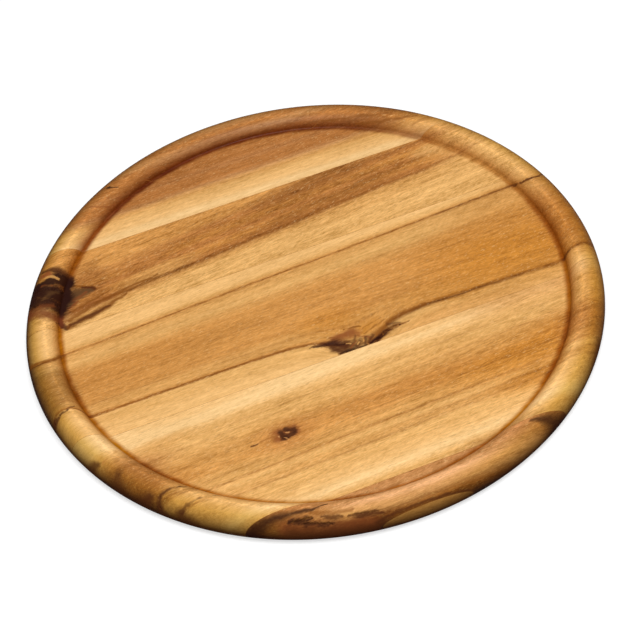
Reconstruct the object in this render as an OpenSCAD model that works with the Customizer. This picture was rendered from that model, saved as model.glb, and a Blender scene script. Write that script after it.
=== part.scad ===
// Round pizza serving board of glued acacia staves, turned with a sunken floor and a bead rim.
// Millimetres, +Z up. The origin is the centre of the underside and the staves run along X.

/* [Board] */
// Diameter of the turned board
board_d = 320; // [290:5:400]
// Height of the board, from the table to the crown of the bead
board_h = 15; // [13:0.5:24]
// Depth of the sunken floor below the crown of the bead
recess_depth = 7; // [4:0.5:9]

/* [Rim] */
// Width of the half-round bead, from its inner wall to the board's edge
bead_w = 19; // [12:0.5:24]
// Radius of the hollow where the floor meets the bead
cove_r = 1.5; // [0.5:0.25:3]
// Radius of the rounded edge underneath
under_r = 5.5; // [2:0.5:8]

/* [Staves] */
// Width of the segment that the turned edge leaves of the rearmost stave
back_edge_w = 28.5; // [15:0.5:45]
// Width of the back stave
back_w = 38.5; // [20:0.5:60]
// Width of the stave with the knot on the rim
rim_knot_w = 55; // [30:0.5:80]
// Width of the front stave
front_w = 88; // [60:0.5:120]
// Width of the front edge stave
front_edge_w = 24.7; // [14:0.1:45]
// Width of the thin segment that the turned edge leaves of the foremost stave
front_sliver_w = 2; // [2:0.1:12]
// Thickness of each glue line
glue_t = 0.15; // [0.1:0.05:0.5]

/* [Hidden] */
// Sides of the circles in the section, and of the turned round: many, because a sliver is thin
$fn = 240;
turned_fn = 720;

board_r = board_d / 2;
floor_z = board_h - recess_depth;
// The bead is a half circle on top of a straight inner wall
bead_r = bead_w / 2;
bead_x = board_r - bead_r;
bead_z = board_h - bead_r;
// The rounded edge underneath ends at the bead's widest point
edge_r = min(under_r, bead_z);
// The hollow touches the floor, and the bead or the straight wall below it
cove_z = floor_z + cove_r;
cove_lift = max(cove_z - bead_z, 0);
cove_x = bead_x - sqrt(pow(bead_r + cove_r, 2) - pow(cove_lift, 2));
touch_share = bead_r / (bead_r + cove_r);
touch_x = bead_x + (cove_x - bead_x) * touch_share;
touch_z = cove_z - cove_lift + cove_lift * touch_share;
// How far a cutting shape runs past what it cuts
overrun = board_h / 2;

// Joints between the staves, as distances behind the centre line, from the back to the front.
// The edge staves are laid out from the rim, and the centre stave takes what is left between them.
joint_1 = board_r - back_edge_w;
joint_2 = joint_1 - back_w;
joint_3 = joint_2 - rim_knot_w;
joint_6 = -board_r + front_sliver_w;
joint_5 = joint_6 + front_edge_w;
joint_4 = joint_5 + front_w;

// Half section of the finished board, from its axis to its outer edge
module board_section() {
    intersection() {
        square([board_r, board_h]);
        difference() {
            union() {
                square([bead_x + bead_r / 2, floor_z]);
                translate([bead_x - bead_r, 0]) square([bead_w, bead_z]);
                translate([bead_x, bead_z]) circle(r = bead_r);
                cove_section();
            }
            under_edge_section();
        }
    }
}

// The wood that fills the corner between the floor and the bead
module cove_section() {
    difference() {
        translate([cove_x, floor_z / 2]) square([touch_x - cove_x, touch_z - floor_z / 2]);
        translate([cove_x, cove_z]) circle(r = cove_r);
    }
}

// What the rounding cuts from the lower outer corner
module under_edge_section() {
    difference() {
        translate([board_r - edge_r, -overrun]) square([edge_r + overrun, edge_r + overrun]);
        translate([board_r - edge_r, edge_r]) circle(r = edge_r);
    }
}

// The whole turned board, before it is shared among the staves
module turned_board() {
    rotate_extrude($fn = turned_fn) board_section();
}

// The slice of the turned board between two planes across it, front and back
module slice_of_board(front_y, back_y) {
    intersection() {
        turned_board();
        translate([-board_r - overrun, front_y, -overrun])
            cube([board_d + 2 * overrun, back_y - front_y, board_h + 2 * overrun]);
    }
}

// A stave between two joints, each of which takes half a glue line from it
module stave(front_joint, back_joint) {
    slice_of_board(front_joint + glue_t / 2, back_joint - glue_t / 2);
}

// The glue in one joint, flush with the wood all round
module glue_line(joint) {
    color("saddlebrown") slice_of_board(joint - glue_t / 2, joint + glue_t / 2);
}

module back_edge_stave() {
    color([0.70, 0.46, 0.25]) stave(joint_1, board_r + overrun);
}

module back_stave() {
    color([0.85, 0.62, 0.36]) stave(joint_2, joint_1);
}

module rim_knot_stave() {
    color([0.74, 0.52, 0.28]) stave(joint_3, joint_2);
}

module centre_stave() {
    color([0.83, 0.58, 0.30]) stave(joint_4, joint_3);
}

module front_stave() {
    color([0.88, 0.67, 0.40]) stave(joint_5, joint_4);
}

module front_edge_stave() {
    color([0.60, 0.38, 0.20]) stave(joint_6, joint_5);
}

module front_sliver() {
    color([0.72, 0.56, 0.30]) stave(-board_r - overrun, joint_6);
}

back_edge_stave();
back_stave();
rim_knot_stave();
centre_stave();
front_stave();
front_edge_stave();
front_sliver();
glue_line(joint_1);  // glue_line_1
glue_line(joint_2);  // glue_line_2
glue_line(joint_3);  // glue_line_3
glue_line(joint_4);  // glue_line_4
glue_line(joint_5);  // glue_line_5
glue_line(joint_6);  // glue_line_6
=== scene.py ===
"""Round pizza serving board: the staves dressed as oiled acacia, on a pale studio floor.

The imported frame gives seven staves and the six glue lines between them. Each is modelled again here
as a fine slice of one turned round, with the hollows of its knots cut in, and gets its own wood.
Lengths of shapes are in metres, and those inside a material are in millimetres.
"""
import logging
import math
from dataclasses import dataclass
from enum import Enum
from functools import cached_property
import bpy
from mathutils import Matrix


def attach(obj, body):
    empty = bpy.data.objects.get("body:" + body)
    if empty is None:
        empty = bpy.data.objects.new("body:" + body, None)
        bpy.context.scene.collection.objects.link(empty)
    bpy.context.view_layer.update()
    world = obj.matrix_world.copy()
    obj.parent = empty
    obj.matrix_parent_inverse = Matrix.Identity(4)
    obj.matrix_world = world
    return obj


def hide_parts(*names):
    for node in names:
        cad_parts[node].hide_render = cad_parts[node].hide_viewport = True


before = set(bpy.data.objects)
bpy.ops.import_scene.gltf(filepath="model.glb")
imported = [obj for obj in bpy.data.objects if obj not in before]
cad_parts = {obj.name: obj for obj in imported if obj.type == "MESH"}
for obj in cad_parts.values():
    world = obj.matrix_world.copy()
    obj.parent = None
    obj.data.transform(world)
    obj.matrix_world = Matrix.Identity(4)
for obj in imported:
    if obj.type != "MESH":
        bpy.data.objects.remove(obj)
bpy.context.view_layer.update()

from types import SimpleNamespace
from typing import Any, Callable, Sequence, Union

import bmesh
import bpy
from mathutils import Matrix, Vector, noise

LOG = logging.getLogger("pizza_board")
MM = 0.001
NEAR = 1e-6
HAIR = 1e-7
QUARTER = math.pi / 2
Socket = bpy.types.NodeSocket
Value = Union[float, Sequence[float], Socket]
Pair = tuple[float, float]
Point = tuple[float, float, float]
Place = Callable[[float, float], Point]
Colour = tuple[float, float, float, float]


# ---------------------------------------------------------------------------
# Sizes of the turned board


def around(x: float, z: float, radius: float, angle: float) -> Pair:
    """The point of a circle in the section, at an angle in radians."""
    return x + radius * math.cos(angle), z + radius * math.sin(angle)


@dataclass(frozen=True)
class BoardSizes:
    """The turned section, in metres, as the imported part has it."""

    radius: float = 0.160
    height: float = 0.015
    floor_z: float = 0.008
    bead_r: float = 0.0095
    cove_r: float = 0.0015
    edge_r: float = 0.0055
    support: float = 0.002
    turns: int = 720
    bead_sides: int = 108
    cove_steps: int = 6
    edge_steps: int = 12

    @property
    def bead_x(self) -> float:
        """Distance of the bead's middle from the axis."""
        return self.radius - self.bead_r

    @property
    def bead_z(self) -> float:
        """Height of the bead's middle."""
        return self.height - self.bead_r

    @property
    def cove_z(self) -> float:
        """Height of the middle of the hollow between floor and bead."""
        return self.floor_z + self.cove_r

    @property
    def cove_x(self) -> float:
        """Distance of the hollow's middle from the axis."""
        reach = self.bead_r + self.cove_r
        return self.bead_x - math.sqrt(reach ** 2 - (self.cove_z - self.bead_z) ** 2)

    @property
    def touch_angle(self) -> float:
        """Angle round the bead at which the hollow touches it."""
        return math.atan2(self.cove_z - self.bead_z, self.cove_x - self.bead_x)

    def inner_end(self) -> list[Pair]:
        """The section from the bead through the hollow to the floor."""
        start = self.touch_angle - math.pi
        swing = -QUARTER - start
        points = [around(self.cove_x, self.cove_z, self.cove_r, start + i / self.cove_steps * swing)
                  for i in range(self.cove_steps + 1)]
        return [*points, (points[-1][0] - self.support, self.floor_z)]

    def outer_end(self) -> list[Pair]:
        """The section from the outer wall round the lower edge to the underside."""
        points = [around(self.radius - self.edge_r, self.edge_r, self.edge_r,
                         -(i / self.edge_steps) * math.pi / 2) for i in range(1, self.edge_steps + 1)]
        return [*points, (points[-1][0] - self.support, 0.0)]


SIZES = BoardSizes()
FLOOR_MM = SIZES.floor_z / MM


def flat(x: float, y: float) -> Point:
    """A point on the floor, in millimetres."""
    return (x, y, FLOOR_MM)


def bead(turn: float, roll: float) -> Point:
    """A point on the bead, in millimetres.

    Args:
        turn: degrees round the board, 0 at the right end and 90 at the back.
        roll: degrees round the bead, 0 at its widest point and 90 on its crown.
    Returns:
        The point.
    """
    middle = (SIZES.bead_x, SIZES.bead_z, SIZES.bead_r)
    if roll < 0:
        middle = (SIZES.radius - SIZES.edge_r, SIZES.edge_r, SIZES.edge_r)
    out, up = around(*middle, math.radians(roll))
    turned = math.radians(turn)
    return (out * math.cos(turned) / MM, out * math.sin(turned) / MM, up / MM)


# ---------------------------------------------------------------------------
# Colours and the marks of the wood


class Tone(Enum):
    """Colours of oiled acacia, from sapwood to bark, as they look to the eye."""

    CREAM = (249, 204, 140)
    SAP = (241, 188, 118)
    GOLD = (229, 174, 102)
    HONEY = (219, 160, 88)
    AMBER = (209, 145, 73)
    ORANGE = (196, 130, 58)
    BROWN = (182, 116, 56)
    UMBER = (158, 98, 42)
    TAN = (196, 138, 82)
    OLIVE = (150, 106, 50)
    RED = (140, 74, 34)
    DARK = (84, 42, 16)
    BARK = (44, 15, 7)
    ASH = (132, 92, 48)
    FLAME = (200, 129, 44)
    PEAT = (134, 76, 19)
    MOSS = (90, 60, 34)
    WINE = (74, 28, 12)
    RUSSET = (116, 54, 26)
    BLUSH = (230, 170, 114)
    ROSE = (205, 148, 98)
    CLAY = (190, 126, 70)
    STRAW = (222, 164, 104)

    def linear(self) -> Colour:
        """The colour as a shader takes it."""
        shares = [v / 255 for v in self.value]
        return (*[v / 12.92 if v <= 0.04045 else ((v + 0.055) / 1.055) ** 2.4 for v in shares], 1.0)


(CREAM, SAP, GOLD, HONEY, AMBER, ORANGE, BROWN, UMBER, TAN, OLIVE, RED, DARK, BARK, ASH, FLAME, PEAT,
 MOSS, WINE, RUSSET, BLUSH, ROSE, CLAY, STRAW) = Tone


@dataclass(frozen=True)
class Line:
    """A dark growth line that keeps one place across the stave."""

    place: float
    width: float
    strength: float
    start: float = -400.0
    end: float = 400.0
    tone: Tone = UMBER
    skirt: float = -2.5
    fade: float = 30.0


@dataclass(frozen=True)
class Patch:
    """A soft cloud of another tone."""

    x: float
    y: float
    long: float
    wide: float
    tone: Tone
    strength: float
    z: float = FLOOR_MM
    high: float = 60.0
    soft: float = 0.6
    ragged: float = 0.5


@dataclass(frozen=True)
class Trail:
    """A streak or crack from stop to stop, each with half the width that it has there."""

    place: Place
    stops: tuple[Point, ...]
    tone: Tone = BARK
    strength: float = 0.92
    soft: float = 0.5
    ragged: float = 0.6


@dataclass(frozen=True)
class Bend:
    """How the fibres run past a knot: dip draws them to it, part pushes them aside."""

    centre: Point
    length: float
    width: float
    dip: float = 0.0
    part: float = 0.0


@dataclass(frozen=True)
class Hollow:
    """A crack or bark pocket that is really open, along a few points."""

    place: Place
    stops: tuple[Pair, ...]
    width: float
    depth: float

    @cached_property
    def points(self) -> list[Vector]:
        """Its points, in millimetres."""
        return [Vector(self.place(*stop)) for stop in self.stops]

    @cached_property
    def longest(self) -> float:
        """Its longest stretch, in millimetres."""
        return max((end - start).length for start, end in zip(self.points, self.points[1:]))

    def gap(self, spot: Vector) -> float:
        """Distance of a spot from the crack, in millimetres."""
        gaps = []
        for start, end in zip(self.points, self.points[1:]):
            run = end - start
            share = max(0.0, min(1.0, (spot - start).dot(run) / run.length_squared))
            gaps.append((spot - start - run * share).length)
        return min(gaps)

    def sink(self, spot: Vector) -> float:
        """How far the crack takes the surface down.

        Args:
            spot: a point of the surface, in millimetres.
        Returns:
            The depth there, in millimetres.
        """
        near = self.gap(spot) + (0.45 * self.width * noise.noise(spot * 1.1)
                                 + 0.25 * noise.noise(spot * 2.7))
        share = max(0.0, min(1.0, 1.0 - near / self.width))
        return self.depth * share * share * (3.0 - 2.0 * share)


@dataclass(frozen=True)
class StaveWood:
    """The wood of one stave: where its growth lines run and what colours it has across."""

    tones: tuple[tuple[float, Tone], ...]
    seed: float
    tilt: float = 0.0
    fan: float = 0.0
    sag: float = 0.0
    rise: float = 0.5
    rise_fan: float = 0.0
    twist: float = 0.0
    waver: float = 1.2
    feather: float = 1.5
    figure: float = 1.0
    grain: float = 1.0
    # Tint of the painted shade in the valley between floor and bead
    valley: Colour = (0.46, 0.25, 0.0, 1.0)
    lines: tuple[Line, ...] = ()
    patches: tuple[Patch, ...] = ()
    trails: tuple[Trail, ...] = ()
    bends: tuple[Bend, ...] = ()
    hollows: tuple[Hollow, ...] = ()


# ---------------------------------------------------------------------------
# Shader nodes, and the groups that the woods share


class Sketch:
    """Wires shader nodes in one tree."""

    SIGNS = {"+": "ADD", "-": "SUBTRACT", "*": "MULTIPLY", "/": "DIVIDE", "*+": "MULTIPLY_ADD",
             "^": "POWER"}

    def __init__(self, tree: bpy.types.NodeTree) -> None:
        """Takes the tree to draw in."""
        self.tree = tree

    @classmethod
    def on(cls, owner: Union[bpy.types.Material, bpy.types.World]) -> "Sketch":
        """A sketch in the emptied tree of a new material or world."""
        owner.use_nodes = True
        owner.node_tree.nodes.clear()
        return cls(owner.node_tree)

    def put(self, socket: Socket, value: Value) -> None:
        """Links a socket to another, or sets its value."""
        if isinstance(value, bpy.types.NodeSocket):
            self.tree.links.new(value, socket)
        else:
            socket.default_value = value

    def node(self, kind: str, *values: Value, settings: Any = None, **named: Value) -> bpy.types.Node:
        """Adds a shader node.

        Args:
            kind: its type.
            values: its inputs, in their order.
            settings: its own settings, by name.
            named: further inputs, with underscores for the spaces in their names.
        Returns:
            The node.
        """
        made = self.tree.nodes.new("ShaderNode" + kind)
        for name, value in (settings or {}).items():
            setattr(made, name, value)
        for socket, value in zip(made.inputs, values):
            self.put(socket, value)
        for name, value in named.items():
            self.put(made.inputs[name.replace("_", " ")], value)
        return made

    def math(self, sign: str, *values: Value, clamp: bool = False) -> Socket:
        """A Math node's result."""
        settings = {"operation": self.SIGNS.get(sign, sign), "use_clamp": clamp}
        return self.node("Math", *values, settings=settings).outputs[0]

    def vector(self, sign: str, *values: Value) -> Socket:
        """A Vector Math node's vector."""
        return self._vector(sign, values).outputs["Vector"]

    def measure(self, sign: str, *values: Value) -> Socket:
        """A Vector Math node's number."""
        return self._vector(sign, values).outputs["Value"]

    def _vector(self, sign: str, values: Sequence[Value]) -> bpy.types.Node:
        """A Vector Math node."""
        settings = {"operation": self.SIGNS.get(sign, sign)}
        if sign == "SCALE":
            return self.node("VectorMath", values[0], settings=settings, Scale=values[1])
        return self.node("VectorMath", *values, settings=settings)

    def split(self, vector: Value) -> tuple[Socket, Socket, Socket]:
        """The X, Y and Z of a vector."""
        return tuple(self.node("SeparateXYZ", vector).outputs)

    def join(self, x: Value, y: Value, z: Value) -> Socket:
        """A vector of three numbers."""
        return self.node("CombineXYZ", x, y, z).outputs[0]

    def noise(self, vector: Value, sizes: Point, detail: float = 2.0, rough: float = 0.5,
              warp: float = 0.0, seed: Value = 0.0, out: str = "Fac") -> Socket:
        """A cloud of noise from 0 to 1, about 0.5.

        Args:
            vector: the position.
            sizes: the size of a cloud along each axis.
            detail: octaves.
            rough: weight of the finer octaves.
            warp: distortion.
            seed: moves the pattern.
            out: Fac for one cloud, Color for three as a vector.
        Returns:
            The noise.
        """
        moved = self.vector("+", self.vector("/", vector, sizes), self.join(seed, seed, seed))
        return self.node("TexNoise", settings={"noise_dimensions": "3D"}, Vector=moved, Scale=1.0,
                         Detail=detail, Roughness=rough, Distortion=warp).outputs[out]

    def swing(self, *about: Any, **more: Any) -> Socket:
        """The same noise, from -0.5 to 0.5."""
        return self.math("-", self.noise(*about, **more), 0.5)

    def span(self, value: Value, low: Value, high: Value, to_low: Value = 0.0,
             to_high: Value = 1.0, smooth: bool = False) -> Socket:
        """A Map Range node's result, clamped."""
        settings = {"interpolation_type": "SMOOTHSTEP" if smooth else "LINEAR"}
        return self.node("MapRange", value, low, high, to_low, to_high, settings=settings).outputs[0]

    def mix(self, share: Value, under: Value, over: Value, blend: str = "MIX") -> Socket:
        """A colour mix."""
        made = self.node("Mix", share, settings={"data_type": "RGBA", "blend_type": blend})
        self.put(made.inputs[6], under)
        self.put(made.inputs[7], over)
        return made.outputs[2]

    def bell(self, value: Value) -> Socket:
        """A bell curve of a number, 1 at 0."""
        return self.math("EXPONENT", self.math("*", self.math("*", value, value), -1.0))

    def millimetres(self) -> Socket:
        """The object's own position, in millimetres."""
        return self.vector("SCALE", self.node("TexCoord").outputs["Object"], 1.0 / MM)

    def finish(self, kind: str, shader: Socket) -> None:
        """Links a shader to the output of a material or world."""
        self.put(self.node("Output" + kind).inputs["Surface"], shader)


Given = SimpleNamespace
Made = dict[str, Socket]


class WoodGroup:
    """A shader node group with named sockets, built when it is first placed."""

    def __init__(self, draw: Callable[[Sketch, Given], Made], takes: str, gives: str) -> None:
        """Notes what the group is made of.

        Args:
            draw: wires its inside, from its inputs to its outputs by name.
            takes: names of its inputs, with a star behind those that are vectors.
            gives: names of its outputs, likewise.
        """
        self.draw, self.takes, self.gives = draw, takes, gives

    @cached_property
    def tree(self) -> bpy.types.NodeTree:
        """The group's own tree."""
        tree = bpy.data.node_groups.new(self.draw.__name__, "ShaderNodeTree")
        for way, names in (("INPUT", self.takes), ("OUTPUT", self.gives)):
            for name in names.split(", "):
                kind = "NodeSocketVector" if name.endswith("*") else "NodeSocketFloat"
                tree.interface.new_socket(name.rstrip("*"), in_out=way, socket_type=kind)
        entry, leave = (tree.nodes.new("NodeGroup" + way) for way in ("Input", "Output"))
        given = {s.name.lower().replace(" ", "_"): s for s in entry.outputs if s.name}
        for name, socket in self.draw(Sketch(tree), Given(**given)).items():
            tree.links.new(socket, leave.inputs[name])
        return tree

    def __call__(self, s: Sketch, *values: Value) -> Any:
        """Places the group in a tree.

        Args:
            s: the tree.
            values: its inputs, in their order.
        Returns:
            Its output, or all of them where it has several.
        """
        made = s.node("Group", settings={"node_tree": self.tree})
        for socket, value in zip(made.inputs, values):
            s.put(socket, value)
        return made.outputs[0] if len(made.outputs) == 1 else tuple(made.outputs)


def shared(takes: str, gives: str) -> Callable[[Callable[[Sketch, Given], Made]], WoodGroup]:
    """Makes a shader node group of the function that wires its inside."""
    return lambda draw: WoodGroup(draw, takes, gives)


@shared("Position*, Tilt, Fan, Sag, Rise, Rise Fan, Twist, Waver, Seed", "Flow*")
def grain_flow(s: Sketch, g: Given) -> Made:
    """Turns a position into one along the fibres, across the growth lines, and up."""
    x, y, z = s.split(g.position)
    slope = s.math("*+", g.fan, y, g.tilt)
    steep = s.math("*+", s.math("*+", g.twist, x, g.rise_fan), y, g.rise)
    across = s.math("-", y, s.math("*", x, slope))
    across = s.math("-", across, s.math("*", g.sag, s.math("*", x, x)))
    across = s.math("*+", s.math("-", z, FLOOR_MM), steep, across)
    wide = s.swing(g.position, (120.0, 26.0, 30.0), 1.0, 0.4, seed=g.seed)
    fine = s.swing(g.position, (22.0, 5.0, 8.0), 2.0, 0.5, seed=g.seed)
    tiny = s.swing(g.position, (4.5, 2.0, 2.5), 1.0, 0.5, seed=g.seed)
    shift = s.math("*+", tiny, 0.22, s.math("*+", fine, 0.5, wide))
    return {"Flow": s.join(x, s.math("*+", s.math("*", shift, 2.0), g.waver, across), z)}


@shared("Flow*, Centre*, Length, Width, Dip, Part", "Flow*")
def knot_bend(s: Sketch, g: Given) -> Made:
    """Bends the growth lines near a knot."""
    x, y, z = s.split(g.flow)
    cx, cy, _ = s.split(g.centre)
    u = s.math("/", s.math("-", x, cx), g.length)
    w = s.math("/", s.math("-", y, cy), g.width)
    spread = s.math("*+", u, u, s.math("*", w, w))
    near = s.math("EXPONENT", s.math("*", spread, -1.0))
    push = s.math("-", g.dip, s.math("*", g.part, w))
    return {"Flow": s.join(x, s.math("*+", push, near, y), z)}


@shared("Flow*, Place, Width, Start, End, Fade, Skirt", "Mask")
def growth_line(s: Sketch, g: Given) -> Made:
    """A growth line, crisp on one side, with a skirt that fades away on the other."""
    x, y, _ = s.split(g.flow)
    off = s.math("/", s.math("-", y, g.place), g.width)
    far = s.math("/", off, g.skirt)
    tail = s.math("EXPONENT", s.math("*", far, -1.0))
    tail = s.math("*", s.math("*", tail, s.math("GREATER_THAN", far, 0.0)), 0.42)
    begin = s.span(x, s.math("-", g.start, g.fade), g.start, smooth=True)
    finish = s.span(x, g.end, s.math("+", g.end, g.fade), 1.0, 0.0, smooth=True)
    broken = s.noise(g.flow, (7.0, 1.2, 3.0), 3.0, 0.65, seed=g.place)
    broken = s.span(broken, 0.30, 0.62, 0.35, 1.0, smooth=True)
    mask = s.math("*", s.math("MAXIMUM", s.bell(off), tail), s.math("*", begin, finish))
    return {"Mask": s.math("*", mask, broken)}


@shared("Flow*, Centre*, Size*, Soft, Ragged, Grit", "Mask")
def tone_patch(s: Sketch, g: Given) -> Made:
    """A cloud with a ragged edge that follows the fibres."""
    off = s.vector("/", s.vector("-", g.flow, g.centre), g.size)
    reach = s.math("*+", g.grit, g.ragged, s.measure("LENGTH", off))
    low, high = s.math("-", 1.0, g.soft), s.math("+", 1.0, g.soft)
    return {"Mask": s.span(reach, low, high, 1.0, 0.0, smooth=True)}


@shared("Position*", "Grit, Pushed*")
def rough_grit(s: Sketch, g: Given) -> Made:
    """A rough number that runs with the fibres, and the position pushed about a little."""
    moved = g.position
    for sizes, detail, rough, seed, push in (
            ((6.0, 3.5, 3.5), 1.0, 0.5, 17.0, (4.0, 2.4, 2.4)),
            ((1.6, 0.9, 0.9), 2.0, 0.6, 29.0, (1.6, 0.9, 0.9))):
        cloud = s.noise(g.position, sizes, detail, rough, seed=seed, out="Color")
        moved = s.vector("+", moved, s.vector("*", s.vector("-", cloud, (0.5, 0.5, 0.5)), push))
    return {"Grit": s.swing(g.position, (3.6, 0.8, 1.0), 4.0, 0.7, 0.3, 7.0), "Pushed": moved}


@shared("Pushed*, Start*, End*, Start Width, End Width, Soft, Ragged, Grit", "Mask")
def dark_stroke(s: Sketch, g: Given) -> Made:
    """One stretch of a tapered, ragged streak."""
    run, here = (s.vector("-", spot, g.start) for spot in (g.end, g.pushed))
    share = s.math("/", s.measure("DOT_PRODUCT", here, run), s.measure("DOT_PRODUCT", run, run))
    share = s.math("MINIMUM", s.math("MAXIMUM", share, 0.0), 1.0)
    near = s.measure("LENGTH", s.vector("-", here, s.vector("SCALE", run, share)))
    width = s.math("*+", share, s.math("-", g.end_width, g.start_width), g.start_width)
    near = s.math("*+", s.math("*", g.grit, width), g.ragged, near)
    inner = s.math("*", width, s.math("-", 1.0, g.soft))
    outer = s.math("*", width, s.math("+", 1.0, g.soft))
    return {"Mask": s.span(near, inner, outer, 1.0, 0.0, smooth=True)}


@shared("Position*", "Valley, Outside, Soaked, Crown")
def turned_edge(s: Sketch, g: Given) -> Made:
    """Painted light of the turned edge: shade in the valley and on the bead's outside, with a warmer
    tint, and a highlight on the crown.
    """
    x, y, z = s.split(g.position)
    out = s.measure("LENGTH", s.join(x, y, 0.0))
    roll = s.math("ARCTAN2", s.math("-", z, SIZES.bead_z / MM), s.math("-", out, SIZES.bead_x / MM))
    cloud = s.noise(g.position, (11.0, 7.0, 7.0), 2.0, 0.55, seed=61.0)
    # The hollow lies between a radius of 137.6 and 147.2 mm, and the bead's crown is at 150.5 mm
    edge = s.math("+", out, s.math("*", s.math("-", cloud, 0.5), 1.6))
    floor_side = s.span(edge, 137.6, 140.7, smooth=True)
    bead_side = s.math("^", s.span(edge, 141.6, 147.2, 1.0, 0.0), 2.0)
    # Painted shade in the valley between floor and bead, broken a little by the cloud
    valley = s.math("*", s.math("*", floor_side, bead_side), s.span(z, 5.0, 7.5))
    valley = s.math("*", valley, s.span(cloud, 0.25, 0.6, 0.88, 1.0))
    # The painted shade in the valley is weaker at the right, towards 32 degrees
    right = s.math("/", s.math("*+", x, 0.85, s.math("*", y, 0.53)), out)
    right = s.math("^", s.math("MAXIMUM", right, 0.0), 8.0)
    valley = s.math("*", valley, s.math("*+", right, -0.35, 1.0))
    # Painted shade on the bead's outside, from the crown down to its widest point, stronger at the back
    # and a little at the end grain, fading out at the bottom edge
    end_grain = s.math("/", s.math("ABSOLUTE", x), out)
    above_table = s.span(z, 0.2, 2.5)
    outer = s.math("^", s.span(roll, math.radians(100), math.radians(-10)), 1.45)
    rear = s.math("MAXIMUM", s.math("+", s.math("/", y, out), 0.3), 0.0)
    shade_depth = s.math("*+", rear, 1.2, s.math("*+", end_grain, 0.2, 1.05))
    outer = s.math("*", outer, shade_depth, clamp=True)
    # A deeper, warmer tint of that painted shade, between rolls of 98 and 64 degrees
    soaked = s.math("*", s.span(roll, math.radians(98), math.radians(64)), above_table)
    # Painted highlight along the bead's crown at a roll of 105 degrees, broken up by noise
    crown = s.bell(s.math("/", s.math("-", roll, math.radians(105)), math.radians(6.5)))
    highlight_breakup = s.noise(g.position, (3.0, 1.6, 3.0), 3.0, 0.65, seed=67.0)
    return {"Valley": valley, "Outside": s.math("*", outer, above_table), "Soaked": soaked,
            "Crown": s.math("*", crown, s.span(highlight_breakup, 0.40, 0.60, 0.05, 1.0))}


@shared("Flow*, Seed", "Figure, Bands, Streaks, Mottle, Fine, Pores, Flecks")
def wood_fibres(s: Sketch, g: Given) -> Made:
    """Fine grain of the wood: broad figure, growth bands, streaks, mottle, pores and flecks."""
    x, y, z = s.split(g.flow)
    slanted = s.join(x, s.math("*+", x, -0.22, y), z)
    pores = s.noise(g.flow, (3.8, 0.40, 0.42), 1.0, 0.5, 0.3, s.math("+", g.seed, 11.0))
    where = s.noise(g.flow, (14.0, 3.0, 4.0), 2.0, 0.5, 0.0, g.seed)
    cut = s.span(where, 0.35, 0.65, 0.72, 0.60)
    flecks = s.noise(slanted, (2.1, 0.75, 0.8), 2.0, 0.6, 0.6, s.math("+", g.seed, 23.0))
    return {
        "Figure": s.swing(g.flow, (50.0, 7.5, 12.0), 3.0, 0.55, 0.4, g.seed),
        "Bands": s.swing(g.flow, (120.0, 2.4, 50.0), 3.0, 0.6, 0.3, g.seed),
        "Streaks": s.swing(g.flow, (8.5, 0.75, 0.95), 4.0, 0.6, 0.5, g.seed),
        "Mottle": s.swing(slanted, (5.0, 2.2, 2.4), 2.0, 0.55, 0.8, g.seed),
        "Fine": s.swing(slanted, (2.4, 0.55, 0.6), 3.0, 0.65, 0.3, g.seed),
        "Pores": s.span(s.math("-", pores, cut), 0.0, 0.06, smooth=True),
        "Flecks": s.span(flecks, 0.56, 0.72, smooth=True),
    }


@shared("Flow*, Base, Variation, Streaks, Fine, Pores, Dark, Outside", "Roughness, Height")
def oil_sheen(s: Sketch, g: Given) -> Made:
    """Satin oil: where it is drier, and how far pores and fibres stand in it."""
    soaked = s.swing(g.flow, (30.0, 12.0, 12.0), 2.0, 0.5, seed=41.0)
    rough = s.math("*+", soaked, g.variation, g.base)
    for mark, share in ((g.pores, 0.18), (g.dark, 0.30), (g.outside, 0.55)):
        rough = s.math("*+", mark, share, rough)
    height = s.math("*+", g.fine, 0.012, s.math("*", g.streaks, 0.010))
    sanded = s.swing(g.flow, (6.0, 1.6, 1.6), 2.0, 0.5, seed=53.0)
    height = s.math("*+", sanded, 0.05, height)
    return {"Roughness": rough, "Height": s.math("*+", g.pores, -0.035, height)}


# ---------------------------------------------------------------------------
# Materials


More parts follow.
